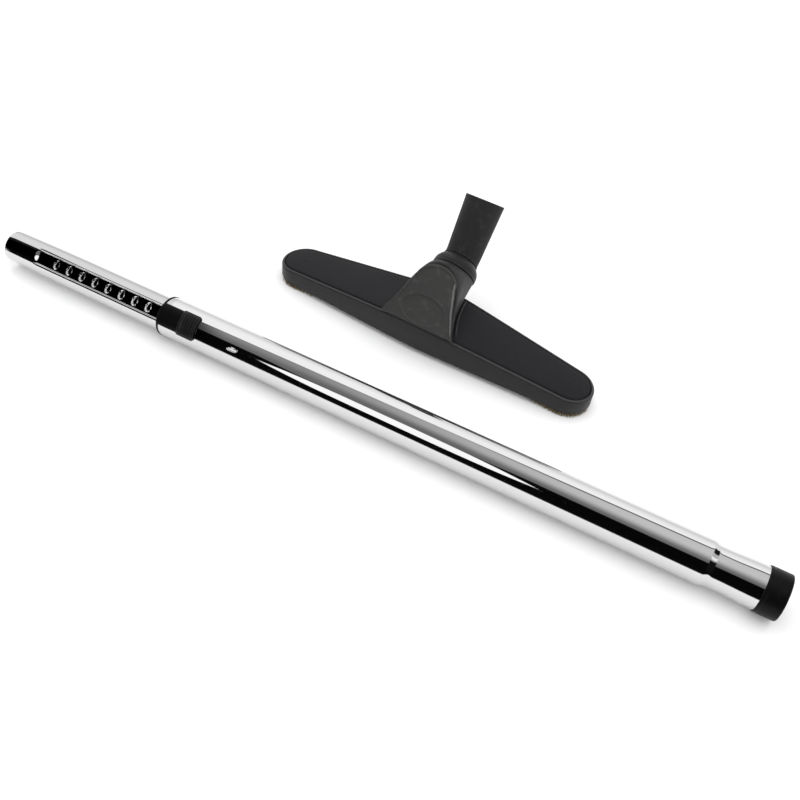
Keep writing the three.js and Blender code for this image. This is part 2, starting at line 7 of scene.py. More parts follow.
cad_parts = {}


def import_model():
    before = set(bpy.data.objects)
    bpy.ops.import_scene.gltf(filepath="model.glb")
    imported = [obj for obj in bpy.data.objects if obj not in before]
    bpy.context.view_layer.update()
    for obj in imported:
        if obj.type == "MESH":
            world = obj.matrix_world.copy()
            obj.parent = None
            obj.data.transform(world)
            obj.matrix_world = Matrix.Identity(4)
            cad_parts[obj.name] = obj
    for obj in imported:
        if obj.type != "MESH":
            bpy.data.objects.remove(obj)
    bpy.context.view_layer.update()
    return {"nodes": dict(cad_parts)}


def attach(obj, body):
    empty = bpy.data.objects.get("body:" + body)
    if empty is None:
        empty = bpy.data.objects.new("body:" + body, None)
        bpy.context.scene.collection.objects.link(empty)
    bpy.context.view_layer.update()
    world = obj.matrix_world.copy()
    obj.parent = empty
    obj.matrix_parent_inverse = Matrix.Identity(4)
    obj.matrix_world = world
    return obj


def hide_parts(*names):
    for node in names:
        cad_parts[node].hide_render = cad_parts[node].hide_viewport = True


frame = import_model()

# ------------------------ camera
# It stands over the pair's near side, a little towards the hose end of the wand, with a slight roll. Its lens sees
# about 49 degrees across.
scene = bpy.context.scene
lens = bpy.data.cameras.new("camera")
lens.lens = 39.15
lens.clip_end = 20
camera = bpy.data.objects.new("camera", lens)
across = (0.875137, 0.475776, 0.088159)
upward = (-0.395092, 0.597420, 0.697848)
backward = (0.279352, -0.645544, 0.710799)
stand = (0.24750, -0.56207, 0.54718)
camera.matrix_world = Matrix([[*row] for row in zip(across, upward, backward, stand)]).to_4x4()
scene.collection.objects.link(camera)
scene.camera = camera
scene.view_settings.view_transform = "Standard"


# ------------------------ floor
# A sheet of white background paper that the pair lies on, lit evenly from a large soft box overhead. It has a very
# fine speckle, and the wide white room round it fills the shadows.
class Reading:
    """What one socket gives, so that sums on it read as plain arithmetic."""

    def __init__(self, tree, socket):
        self.tree = tree
        self.socket = socket

    def sum(self, how, first, second):
        return self.tree.node("ShaderNodeMath", {0: first, 1: second}, operation=how)

    def __add__(self, other):
        return self.sum("ADD", self, other)

    def __radd__(self, other):
        return self.sum("ADD", other, self)

    def __sub__(self, other):
        return self.sum("SUBTRACT", self, other)

    def __rsub__(self, other):
        return self.sum("SUBTRACT", other, self)

    def __mul__(self, other):
        return self.sum("MULTIPLY", self, other)

    def __rmul__(self, other):
        return self.sum("MULTIPLY", other, self)

    def __truediv__(self, other):
        return self.sum("DIVIDE", self, other)

    def __pow__(self, other):
        return self.sum("POWER", self, other)

    def between(self, low, high):
        """0 below low, 1 above high, and smooth from one to the other."""
        return self.tree.node("ShaderNodeMapRange", {0: self, 1: low, 2: high}, interpolation_type="SMOOTHSTEP")


class Tree:
    """A node tree that is filled one node at a time."""

    def __init__(self, nodes):
        self.nodes = nodes

    def node(self, kind, values=None, out=0, **settings):
        made = self.nodes.nodes.new(kind)
        for name, value in settings.items():
            setattr(made, name, value)
        for name, value in (values or {}).items():
            if isinstance(value, Reading):
                self.nodes.links.new(value.socket, made.inputs[name])
            else:
                made.inputs[name].default_value = value
        return Reading(self, made.outputs[out]) if made.outputs else made

    def parts(self, vector):
        """The X, Y and Z of a vector."""
        split = self.node("ShaderNodeSeparateXYZ", {0: vector}).socket.node
        return [Reading(self, part) for part in split.outputs]


class Finish(Tree):
    """A material, with its pattern laid out on Object coordinates."""

    def __init__(self, name):
        self.material = bpy.data.materials.new(name)
        self.material.use_nodes = True
        super().__init__(self.material.node_tree)
        self.nodes.nodes.clear()

    def spot(self):
        return self.node("ShaderNodeTexCoord", out=3)

    def place(self, stretch=(1, 1, 1)):
        return self.node("ShaderNodeMapping", {"Vector": self.spot(), "Scale": stretch})

    def noise(self, where, scale, detail=3.0, roughness=0.5):
        values = {"Vector": where, "Scale": scale, "Detail": detail, "Roughness": roughness}
        return self.node("ShaderNodeTexNoise", values)

    def mix(self, share, first, second):
        return self.node("ShaderNodeMix", {0: share, 6: first, 7: second}, out=2, data_type="RGBA")

    def bump(self, height, depth):
        return self.node("ShaderNodeBump", {"Height": height, "Distance": depth, "Strength": 1.0})

    def surface(self, kind="ShaderNodeBsdfPrincipled", **values):
        named = {name.replace("_", " "): value for name, value in values.items()}
        self.node("ShaderNodeOutputMaterial", {"Surface": self.node(kind, named)})
        return self.material


def link(name, data):
    made = bpy.data.objects.new(name, data)
    scene.collection.objects.link(made)
    return made


def sheet(name, points, material, faces=((0, 1, 2, 3),)):
    mesh = bpy.data.meshes.new(name)
    mesh.from_pydata(points, [], faces)
    mesh.materials.append(material)
    return link(name, mesh)


paper = Finish("white_paper")
speckle = paper.noise(paper.place(), 900)
tone = paper.mix(speckle, (0.90, 0.90, 0.90, 1), (0.93, 0.93, 0.93, 1))
paper_white = paper.surface(Base_Color=tone, Roughness=0.9, Specular_IOR_Level=0.1)
FLOOR_HALF, FLOOR_Z = 6, -0.0002
floor_corners = [(x * FLOOR_HALF, y * FLOOR_HALF, FLOOR_Z) for x, y in ((-1, -1), (1, -1), (1, 1), (-1, 1))]
sheet("floor", floor_corners, paper_white)

world = bpy.data.worlds.new("studio")
world.use_nodes = True
backdrop = world.node_tree.nodes["Background"].inputs
backdrop["Color"].default_value = (1, 1, 1, 1)
backdrop["Strength"].default_value = 1.14
scene.world = world

soft_box = bpy.data.lights.new("soft_box", "AREA")
soft_box.shape = "RECTANGLE"
soft_box.size, soft_box.size_y = 2.4, 1.6
soft_box.energy = 11
link("soft_box", soft_box).matrix_world = Matrix.Translation((-0.1, -0.15, 1.9))

# ------------------------ reflector tent
# A bent glowing sheet over the wand, like the tent a studio uses for chrome. Only mirror-like surfaces see it, so
# its picture is painted reflection: it gives the tubes their long bright and black stripes and leaves the soft
# light alone. Its picture is laid out by the angle round the wand, and by the place along the wand that shows each
# part of it.
AXIS_Y, AXIS_Z = -0.10456, 0.0187
TENT_R, TENT_X, TENT_STEPS = 0.9, (-3.2, 2.6), 48
TENT_FROM, TENT_SPAN = -3, 190
SHOWN_SCALE, SHOWN_SHIFT = 2.2876, -0.31867
INNER_TUBE_TO, SHOULDER_FROM, COLLAR_FROM = -0.178, 0.44, 0.73
TOOL_FROM, TOOL_TO = -0.085, 0.19
LENS_MIDDLE, LENS_REACH, LENS_ANGLE, LENS_HALF = 0.0485, 0.1335, 148, 15


def only_reflected(made):
    made.visible_camera = False
    made.visible_diffuse = False
    made.visible_shadow = False
    made.visible_transmission = False


def past(value, start, width):
    """0 up to start, and 1 from width beyond it."""
    return (value - start).between(0, width)


def before(value, end, width):
    """1 until width before end, and 0 from end on."""
    return (end - value).between(0, width)


tent = Finish("tent_sheet")
tent_x, tent_y, tent_z = tent.parts(tent.spot())
angle = tent.node("ShaderNodeMath", {0: tent_z - AXIS_Z, 1: tent_y - AXIS_Y}, operation="ARCTAN2")
angle = angle * (180 / math.pi)
shown = (tent_x - SHOWN_SHIFT) / SHOWN_SCALE

# Painted reflection: white behind the wand up to an edge, then grey over it, with a painted dark line along the
# edge.
white_edge = 74.5 - shown * 70
bright = 0.78 + angle.between(0, 50) * 0.35
grey_top = 0.30 + past(shown, -0.1, 0.4) * 0.38
grey = grey_top - angle.between(88, 124) * (grey_top - 0.17)
crease = (angle - white_edge) / (2.2 + past(shown, 0.08, 0.12) * 6.5)
dark_line_depth = 0.55 + past(shown, 0.1, 0.15) * 0.37
crease = 1 - dark_line_depth * (1 - (crease * crease).between(0, 1))
grey = grey * past(shown, -0.165, 0.05) * crease
level = bright - (angle - white_edge).between(-0.8, 0.8) * (bright - grey)

# Painted reflection: black in front, from further up over the inner tube, with a long white lens in it, a painted
# highlight.
inner_zone = before(shown, INNER_TUBE_TO, 0.012)
black_from = 133 - (1 - past(shown, -0.09, 0.06)) * 6 - past(shown, 0.12, 0.05) * 4 - inner_zone * 42
level = level * (1 - (angle - black_from).between(-1.5, 1.5) * 0.985)
lens_place = (shown - LENS_MIDDLE) / LENS_REACH
lens_half = LENS_HALF * ((1 - lens_place * lens_place).between(0, 1) ** 0.55)
lens_off = angle - LENS_ANGLE
level = level + (lens_half - (lens_off * lens_off) ** 0.5).between(0, 1.6) * 1.25
level = level * (1 - inner_zone * 0.2)

# Painted reflections: painted shade low down where the floor tool stands, short stripes and a painted glint for
# the shoulder and neck, and white past the collar.
beside_tool = past(shown, TOOL_FROM, 0.02) * before(shown, TOOL_TO, 0.02)
level = level * (1 - before(angle, 9, 2) * beside_tool * 0.95)
shoulder = 0.9 - past(angle, 34, 3) * 0.89 + past(angle, 62, 8) * 0.55 - past(angle, 104, 10) * 0.553
painted_glint = past(angle, 86, 3) * before(angle, 103, 3) * past(shown, 0.47, 0.02)
shoulder = shoulder + painted_glint * before(shown, 0.66, 0.02) * 0.5
level = level + past(shown, SHOULDER_FROM, 0.03) * (shoulder - level)
level = level + past(shown, COLLAR_FROM, 0.03) * (1 - level)
tint = tent.node("ShaderNodeVectorMath", {0: (1, 0.995, 0.985), 3: level}, operation="SCALE")
painted_reflection_tent = tent.surface("ShaderNodeEmission", Color=tint, Strength=1.15)

tent_points, tent_faces = [], []
for i in range(TENT_STEPS + 1):
    turn = math.radians(TENT_FROM + TENT_SPAN * i / TENT_STEPS)
    tent_points += [(x, AXIS_Y + TENT_R * math.cos(turn), AXIS_Z + TENT_R * math.sin(turn)) for x in TENT_X]
    if i:
        tent_faces.append((2 * i - 2, 2 * i - 1, 2 * i + 1, 2 * i))
only_reflected(sheet("tent", tent_points, painted_reflection_tent, tent_faces))

# Black and grey cards that only mirror-like surfaces see: painted dark reflections along the tubes' near side.
CARD_Y, CARD_TOP, STRIP_Z = -0.262, 0.049, 0.0005


def even(name, grey):
    """The face of a card of one brightness."""
    return Finish(name).surface("ShaderNodeEmission", Color=(grey, grey, grey, 1), Strength=1.0)


def strip(name, start, end, back, face):
    """A card that lies on the floor in front of the wand, seen only in reflections: a painted reflection."""
    corners = [(start, CARD_Y), (end, CARD_Y), (end, back), (start, back)]
    only_reflected(sheet(name, [(x, y, STRIP_Z) for x, y in corners], face))


black = even("black_card", 0.004)
card_corners = [(-0.62, 0), (0.47, 0), (0.47, CARD_TOP), (-0.62, CARD_TOP)]
only_reflected(sheet("black_card", [(x, CARD_Y, z) for x, z in card_corners], black))
strip("black_strip", -0.50, -0.235, -0.18, black)
strip("grey_strip", -0.235, 0.47, -0.232, even("grey_card", 0.36))

# ------------------------ outer tube
# Welded steel tube, 36.8 mm across, chromed. One end is swaged down to a neck and flared again for the hose
# cuff's collar; the mouth is notched for the lock's saddle, and an oval stop is pressed in behind the lock.
MM = Matrix.Scale(0.001, 4)
AS_IS = Matrix.Identity(4)
WAND = Matrix.Translation((0, AXIS_Y, AXIS_Z)) @ Matrix.Rotation(math.radians(44), 4, "X") @ MM
OUTER_R, TUBE_WALL = 18.4, 1.0
RIM_X = -186.5
NOTCH_END_X, NOTCH_HALF = -147, 10.3
NECK_R, NECK_FROM, NECK_TO = 16.75, 313.5, 320.5
FLARE, FLARE_FROM, FLARE_TO = 0.9, 324, 352
STOP_X, STOP_Y, STOP_LONG, STOP_WIDE = -107.0, -3.1, 5.4, 1.6


def fade(value, low, high):
    part = min(max((value - low) / (high - low), 0), 1)
    return part * part * (3 - 2 * part)


def piece(name, points, faces, place, material, crease=32):
    """A closed mesh with its place in its vertices, faces turned outwards, smooth but for its sharp edges."""
    mesh = bpy.data.meshes.new(name)
    mesh.from_pydata([place @ Vector(p) for p in points], [], faces)
    shape = bmesh.new()
    shape.from_mesh(mesh)
    bmesh.ops.remove_doubles(shape, verts=shape.verts, dist=2e-7)
    bmesh.ops.dissolve_degenerate(shape, edges=shape.edges, dist=1e-7)
    bmesh.ops.recalc_face_normals(shape, faces=shape.faces)
    shape.to_mesh(mesh)
    shape.free()
    mesh.polygons.foreach_set("use_smooth", [True] * len(mesh.polygons))
    mesh.set_sharp_from_angle(angle=math.radians(crease))
    mesh.materials.append(material)
    return link(name, mesh)


def fit(made, body, slot, *nodes):
    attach(made, body)
    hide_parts(*nodes)


def wall(outside, inside, gone=lambda i, j: False, far_rim=True):
    """Joins two grids of rings into one closed wall. Cells where gone is true are left open."""
    rows, count = len(outside), len(outside[0])
    points = [p for ring in outside + inside for p in ring]
    under = rows * count
    kept = {(i, j) for i in range(rows - 1) for j in range(count) if not gone(i, j)}
    faces = []
    for i, j in kept:
        after = (j + 1) % count
        a, b = i * count + j, i * count + after
        c, d = b + count, a + count
        faces += [(a, b, c, d), (d + under, c + under, b + under, a + under)]
        sides = [((i - 1, j), a, b), ((i + 1, j), c, d), ((i, (j - 1) % count), d, a), ((i, after), b, c)]
        for other, start, end in sides:
            if other not in kept and (far_rim or other[0] < rows - 1):
                faces.append((start, end, end + under, start + under))
    return points, faces


def chrome(name, grain):
    """Bright chrome plate: hairline polishing marks along the tube, faint finger smears, small dull specks."""
    plate = Finish(name)
    hairline = plate.noise(plate.place((12, 900, 900)), grain, 2)
    smear = plate.noise(plate.place((6, 22, 22)), 3, 4, 0.6)
    speck = plate.noise(plate.place(), 1400, 1)
    dull = speck.between(0.68, 0.74)
    rough = 0.018 + smear.between(0.45, 0.8) * 0.05 + hairline * 0.02 + dull * 0.12
    tone = plate.mix(smear, (0.69, 0.69, 0.695, 1), (0.63, 0.63, 0.64, 1))
    normal = plate.bump(hairline, 0.0000025)
    return plate.surface(Base_Color=tone, Metallic=1.0, Roughness=rough, Normal=normal)


def outer_radius(x):
    if x < FLARE_FROM:
        return OUTER_R - (OUTER_R - NECK_R) * fade(x, NECK_FROM, NECK_TO)
    return NECK_R + FLARE * fade(x, FLARE_FROM, FLARE_TO)


def steps_between(marks):
    """Places along a piece, from pairs of (end, step)."""
    places = [marks[0]]
    for end, step in marks[1:]:
        count = max(1, round((end - places[-1]) / step))
        start = places[-1]
        places += [start + (end - start) * k / count for k in range(1, count + 1)]
    return places


notch_turn = math.degrees(math.asin(NOTCH_HALF / OUTER_R))
half_turns = [notch_turn * k / 20 for k in range(21)]
half_turns += [notch_turn + (180 - notch_turn) * k / 60 for k in range(1, 60)]
outer_turns = [-t for t in reversed(half_turns[1:])] + half_turns + [180]
outer_places = steps_between([RIM_X, (RIM_X + 0.6, 0.2), (NOTCH_END_X, 5), (-116, 4), (-98, 0.5), (312, 14),
                              (354, 0.8), (371.5, 4)])


def pressed_stop(x, y):
    along, aside = (x - STOP_X) / STOP_LONG, (y - STOP_Y) / STOP_WIDE
    far = math.hypot(along, aside)
    return (1 - fade(far, 0.92, 1.12)) * (0.15 - 0.66 * aside)


def outer_ring(x, thick):
    ring = []
    edge = 0.35 * (1 - min((x - RIM_X) / 0.6, 1)) ** 2
    for turn in outer_turns:
        angle = math.radians(turn)
        radius = outer_radius(x) - thick
        if abs(turn) < 60 and not thick:
            radius -= pressed_stop(x, OUTER_R * math.sin(angle))
        radius += edge if thick else -edge
        ring.append((x, radius * math.sin(angle), radius * math.cos(angle)))
    return ring


def in_notch(i, j):
    middle = (outer_turns[j] + outer_turns[(j + 1) % len(outer_turns)]) / 2
    return outer_places[i + 1] <= NOTCH_END_X + 0.01 and abs(middle) < notch_turn


outer_skin = wall([outer_ring(x, 0) for x in outer_places],
                  [outer_ring(x, TUBE_WALL) for x in outer_places], in_notch)
outer_chrome = chrome("chromed_outer_tube", 1.0)
fit(piece("wand_outer_tube_chromed", *outer_skin, WAND, outer_chrome), "wand_outer", "chromed_steel",
    "wand_outer_tube")

# ------------------------ inner tube
# The thinner chromed tube that slides inside. It has a flat channel pressed along it with a raised bead on each
# side, and a row of oval stop slots pressed into the channel for the lock's roller. Its end is tapered.
INNER_R, INNER_END_X = 15.9, 154
TIP_R, TIP_X, TAPER_LONG = 14.8, -373, 105
CHANNEL_START_X, CHANNEL_RAMP, CHANNEL_HALF = -337.5, 7, 7.4
CHANNEL_FLOOR = math.sqrt(INNER_R ** 2 - CHANNEL_HALF ** 2)
SLOT_PITCH, FIRST_SLOT_X, SLOT_COUNT = 15.4, -310.8, 27


def inner_radius(x):
    left = 1 - min((x - TIP_X) / TAPER_LONG, 1)
    return INNER_R - (INNER_R - TIP_R) * left * left


def channel_height(x, y, radius):
    """How high the pressed side of the tube stands over its axis, at y across it."""
    round_z = math.sqrt(max(radius ** 2 - y ** 2, 0))
    drop = INNER_R - CHANNEL_FLOOR
    far = abs(y)
    floor_z = radius - drop - 0.12
    bead = 0.62 * math.exp(-((far - 6.5) / 0.42) ** 2) - 0.4 * math.exp(-((far - 7.35) / 0.3) ** 2)
    pressed = min(round_z, floor_z + bead + 0.3 * fade(far, 6.9, 7.5))
    return round_z + (pressed - round_z) * fade(x, CHANNEL_START_X, CHANNEL_START_X + CHANNEL_RAMP)


across_marks = [0, 0.8, 1.6, 2.4, 3.2, 3.8, 4.3, 4.7, 5.1, 5.5, 5.8, 6.0, 6.2, 6.4, 6.6, 6.8, 7.0, 7.15, 7.3,
                7.5, 8.0]
inner_half = [math.degrees(math.asin(y / INNER_R)) for y in across_marks]
inner_half += [inner_half[-1] + (180 - inner_half[-1]) * k / 34 for k in range(1, 34)]
inner_turns = [-t for t in reversed(inner_half[1:])] + inner_half + [180]
marks = [TIP_X, (TIP_X + 0.6, 0.2), (CHANNEL_START_X - 1, 6), (CHANNEL_START_X + 8.5, 0.5)]
for k in range(SLOT_COUNT):
    slot_x = FIRST_SLOT_X + k * SLOT_PITCH
    marks += [(slot_x - 4, 4), (slot_x + 4, 0.44)]
marks += [(INNER_END_X, 10)]
inner_places = steps_between(marks)


def inner_ring(x, thick):
    ring = []
    edge = 0.3 * (1 - min((x - TIP_X) / 0.6, 1)) ** 2
    radius = inner_radius(x)
    for turn in inner_turns:
        angle = math.radians(turn)
        y, z = radius * math.sin(angle), radius * math.cos(angle)
        if abs(turn) < 45:
            z = channel_height(x, y, radius)
        reach = math.hypot(y, z)
        share = (reach - thick + (edge if thick else -edge)) / reach
        ring.append((x, y * share, z * share))
    return ring


class Repeat(Tree):
    """Geometry nodes with one shape going in, one coming out, and a named input for each size."""

    def __init__(self, name, given, made, sizes):
        group = bpy.data.node_groups.new(name, "GeometryNodeTree")
        super().__init__(group)
        add = group.interface.new_socket
        add(given, in_out="INPUT", socket_type="NodeSocketGeometry")
        self.inputs = {}
        for label, value in sizes.items():
            kind = "NodeSocketInt" if isinstance(value, int) else "NodeSocketFloat"
            self.inputs[add(label, in_out="INPUT", socket_type=kind).identifier] = value
        add(made, in_out="OUTPUT", socket_type="NodeSocketGeometry")
        ready = group.nodes.new("NodeGroupInput").outputs
        self.given = Reading(self, ready[given])
        self.size = {label: Reading(self, ready[label]) for label in sizes}

    def random(self, low, high, seed):
        values = {"Min": low, "Max": high, "Seed": seed}
        return self.node("FunctionNodeRandomValue", values, data_type="FLOAT_VECTOR")

    def merged(self, *shapes):
        both = self.nodes.nodes.new("GeometryNodeJoinGeometry")
        for shape in shapes:
            self.nodes.links.new(shape.socket, both.inputs[0])
        return Reading(self, both.outputs[0])

    def grow(self, blank, shape, material):
        """Ends the tree with a shape and its material, and sets the whole tree to work on the blank."""
        real = self.node("GeometryNodeRealizeInstances", {0: shape})
        finished = self.node("GeometryNodeSetMaterial", {"Geometry": real, "Material": material})
        leaving = self.nodes.nodes.new("NodeGroupOutput")
        self.nodes.links.new(finished.socket, leaving.inputs[0])
        work = blank.modifiers.new(self.nodes.name, "NODES")
        work.node_group = self.nodes
        for identifier, value in self.inputs.items():
            work[identifier] = value


def press_slots(blank, material):
    """The row of stop slots, pressed into a tube that lies along its own X."""
    press = Repeat("press_stop_slots", "Tube", "Tube", {
        "First": FIRST_SLOT_X, "Pitch": SLOT_PITCH, "Count": float(SLOT_COUNT), "Half length": 2.9,
        "Half width": 4.75, "Depth": 1.25, "Lip": 0.16, "Highest": 10.0})
    size = press.size
    x, y, z = press.parts(press.node("GeometryNodeInputPosition"))
    steps = (x - size["First"]) / size["Pitch"]
    nearest = press.node("ShaderNodeMath", {0: steps}, operation="ROUND")
    nearest = press.node("ShaderNodeClamp", {"Value": nearest, "Min": 0.0, "Max": size["Count"] - 1})
    along = (steps - nearest) * size["Pitch"] / size["Half length"]
    aside = y / size["Half width"]
    far = (along * along + aside * aside) ** 0.5
    pit = 1 - far.between(0.70, 1.0)
    lip = (1 - ((far - 1.08) / 0.1) ** 2.0).between(0, 1)
    drop = (pit * size["Depth"] - lip * size["Lip"]) * (z - size["Highest"]).between(0, 1)
    shift = press.node("ShaderNodeCombineXYZ", {"Z": drop * -1})
    lowered = press.node("GeometryNodeSetPosition", {"Geometry": press.given, "Offset": shift})
    press.grow(blank, lowered, material)


def baked(made, name, place=AS_IS, crease=32):
    """The result of an object's modifiers as a plain mesh with its place in its vertices."""
    seen = made.evaluated_get(bpy.context.evaluated_depsgraph_get())
    mesh = bpy.data.meshes.new_from_object(seen)
    mesh.transform(place)
    mesh.name = name
    mesh.polygons.foreach_set("use_smooth", [True] * len(mesh.polygons))
    mesh.set_sharp_from_angle(angle=math.radians(crease))
    bpy.data.objects.remove(made)
    return link(name, mesh)


inner_chrome = chrome("chromed_inner_tube", 1.3)
inner_skin = wall([inner_ring(x, 0) for x in inner_places], [inner_ring(x, TUBE_WALL) for x in inner_places])
inner_blank = piece("inner_blank", *inner_skin, AS_IS, inner_chrome)
press_slots(inner_blank, inner_chrome)
fit(baked(inner_blank, "wand_inner_tube_chromed", WAND), "wand_inner", "chromed_steel", "wand_inner_tube")

# ------------------------ lock: guide bush and saddle
# A black nylon bush is pressed into the outer tube's mouth. Its thin flange covers the rim, and its smooth saddle
# fills the notch and carries the slider.
BUSH_X, BUSH_END_X, BUSH_BORE_R, BUSH_R = -188.5, -144, INNER_R + 0.25, 17.1
SADDLE_END_X, SADDLE_HALF, SADDLE_R, SADDLE_UNDER_R = -147.3, 10.0, 19.0, 16.3


def bend(start, control, end, t):
    """A point on a quadratic curve."""
    return start * (1 - t) ** 2 + control * 2 * t * (1 - t) + end * t * t


def rounded(outline, steps=4):
    """A closed outline with its corners eased. Each corner is (x, r, easing)."""
    points = []
    for k, (x, r, ease) in enumerate(outline):
        here = Vector((x, r))
        before, after = Vector(outline[k - 1][:2]), Vector(outline[(k + 1) % len(outline)][:2])
        if ease == 0:
            points.append(here)
            continue
        start = here + (before - here).normalized() * ease
        end = here + (after - here).normalized() * ease
        points += [bend(start, here, end, s / steps) for s in range(steps + 1)]
    return points


def full_turn(sides):
    return [2 * math.pi * k / sides for k in range(sides)]


def turned(outline, sides=96):
    """A closed outline of (x, r) turned about the X axis."""
    points = [(x, r * math.sin(angle), r * math.cos(angle)) for x, r in outline for angle in full_turn(sides)]
    faces = []
    for i in range(len(outline)):
        for k in range(sides):
            after, below = (k + 1) % sides, ((i + 1) % len(outline)) * sides
            faces.append((i * sides + k, i * sides + after, below + after, below + k))
    return points, faces


def joined(*parts):
    points, faces = [], []
    for more, corners in parts:
        faces += [tuple(c + len(points) for c in face) for face in corners]
        points += more
    return points, faces


def curved_block(x_marks, half, top, under, ease, height=lambda x, y: 0.0):
    """A block bent round the tube: its outline has eased corners and its top edge is rounded."""
    outline = rounded([(x_marks[0], -half, ease), (x_marks[1], -half, ease), (x_marks[1], half, ease),
                       (x_marks[0], half, ease)], 5)
    dense = []
    for k, here in enumerate(outline):
        after = outline[(k + 1) % len(outline)]
        count = max(1, round((after - here).length / 1.0))
        dense += [here + (after - here) * s / count for s in range(count)]
    centre = Vector(((x_marks[0] + x_marks[1]) / 2, 0))
    rings = [(1.0, top - 0.9), (0.995, top - 0.4), (0.98, top - 0.12), (0.95, top)]
    rings += [(0.95 - 0.05 * k, top) for k in range(1, 19)] + [(0.0, top)]
    grid_out, grid_in = [], []
    for share, radius in rings:
        out, inn = [], []
        for p in dense:
            q = centre + (p - centre) * share
            lift = radius + (height(q.x, q.y) if share < 0.97 else 0)
            angle = math.asin(max(-1, min(1, q.y / top)))
            out.append((q.x, lift * math.sin(angle), lift * math.cos(angle)))
            inn.append((q.x, under * math.sin(angle), under * math.cos(angle)))
        grid_out.append(out)
        grid_in.append(inn)
    return wall(grid_out, grid_in, far_rim=False)


def moulding(name, colour, roughness, grain=0.00001, grain_scale=3200, specular=0.5, warm=(1, 1, 1),
             mottle=0.5):
    """Moulded plastic: a fine spark-eroded grain, slow changes of gloss, and slightly paler rubbed areas."""
    body = Finish(name)
    fine = body.noise(body.place(), grain_scale, 2)
    slow = body.noise(body.place(), 26, 3)
    rubbed = body.noise(body.place(), 140, 4, 0.65).between(0.5, 0.8)
    deep = tuple(c * 0.82 for c in colour)
    pale = tuple(min(1, c * 1.5 * w + 0.004) for c, w in zip(colour, warm))
    tone = body.mix(slow, (*deep, 1), (*colour, 1))
    tone = body.mix(rubbed * mottle, tone, (*pale, 1))
    rough = roughness - 0.07 + slow * 0.12 + rubbed * 0.05
    normal = body.bump(fine, grain)
    return body.surface(Base_Color=tone, Roughness=rough, Specular_IOR_Level=specular, Normal=normal)


lock_black = moulding("lock_nylon", (0.0022, 0.0022, 0.0024), 0.4, 0.000008, specular=0.13)
bush_ring = turned(rounded([
    (BUSH_X, BUSH_BORE_R, 0.2), (BUSH_X, OUTER_R + 0.2, 0.5), (RIM_X - 0.3, OUTER_R + 0.3, 0.3),
    (RIM_X - 0.3, BUSH_R, 0), (BUSH_END_X, BUSH_R, 0.2), (BUSH_END_X, BUSH_BORE_R, 0.2)], 3))
saddle = curved_block((BUSH_X, SADDLE_END_X), SADDLE_HALF, SADDLE_R, SADDLE_UNDER_R, 1.0)
fit(piece("guide_bush_and_saddle", *joined(bush_ring, saddle), WAND, lock_black), "wand_outer", "lock_plastic",
    "guide_bush")

# ------------------------ lock: release slider
# The black thumb piece that lies over the saddle. It has a smooth front lip and five ribs for the thumb, and it
# slides along the tube to let the roller lift out of its slot.
SLIDER_X = (-165, -147)
SLIDER_HALF, SLIDER_R, SLIDER_UNDER_R = 11.75, 20.55, 19.3
slider_black = moulding("slider_nylon", (0.0052, 0.0052, 0.0055), 0.38, 0.000008, specular=0.34)


def slider_top(x, y):
    front_lip = 0.35 * math.exp(-((x - SLIDER_X[0] - 2.2) / 1.1) ** 2)
    return front_lip - 0.75 * fade(abs(y), 9.8, 11.7)


slider_body = curved_block(SLIDER_X, SLIDER_HALF, SLIDER_R, SLIDER_UNDER_R, 1.4, slider_top)


def add_ribs(blank, material):
    """One curved bar bent round the tube, repeated along it."""
    row = Repeat("thumb_ribs", "Given", "Ribs", {
        "Radius": 20.72, "Half turn": 0.50, "Bar": 0.56, "First": -160.6, "Pitch": 2.75, "Count": 5})
    size = row.size
    start = math.pi / 2 - size["Half turn"]
    arc = row.node("GeometryNodeCurveArc", {"Resolution": 22, "Radius": size["Radius"], "Start Angle": start,
                                            "Sweep Angle": size["Half turn"] * 2}, mode="RADIUS")
    bent = row.node("GeometryNodeTransform", {"Geometry": arc, "Rotation": (math.pi / 2, 0, math.pi / 2)})
    circle = row.node("GeometryNodeCurvePrimitiveCircle", {"Resolution": 8, "Radius": size["Bar"]}, mode="RADIUS")
    bar = row.node("GeometryNodeCurveToMesh", {"Curve": bent, "Profile Curve": circle, "Fill Caps": True})
    first = row.node("ShaderNodeCombineXYZ", {"X": size["First"]})
    pitch = row.node("ShaderNodeCombineXYZ", {"X": size["Pitch"]})
    line = row.node("GeometryNodeMeshLine", {"Count": size["Count"], "Start Location": first, "Offset": pitch},
                    mode="OFFSET")
    bars = row.node("GeometryNodeInstanceOnPoints", {"Points": line, "Instance": bar})
    row.grow(blank, row.merged(row.given, bars), material)


slider_blank = piece("slider_blank", *slider_body, AS_IS, slider_black)
add_ribs(slider_blank, slider_black)
fit(baked(slider_blank, "release_slider_ribbed", WAND), "lock_slider", "lock_plastic", "release_slider")


# ------------------------ lock: roller, leaf, spring, inner sleeve
# Small zinc-plated steel parts that hide under the slider, and the pale nylon sleeve on the inner tube's far end
# that keeps it running straight. They keep their shapes, with their real finishes.
def metal(name, colour, roughness):
    plate = Finish(name)
    fine = plate.noise(plate.place((300, 1400, 1400)), 2, 3)
    cloud = plate.noise(plate.place(), 90, 3)
    tone = plate.mix(cloud, (*colour, 1), (*(c * 0.8 for c in colour), 1))
    rough = roughness + fine * 0.14 + cloud * 0.1
    return plate.surface(Base_Color=tone, Metallic=1.0, Roughness=rough, Normal=plate.bump(fine, 0.000008))


zinc = metal("zinc_plated_steel", (0.56, 0.56, 0.57), 0.22)
for node in ("lock_roller", "roller_leaf_spring", "slider_return_spring"):
    frame["nodes"][node].data.materials[0] = zinc

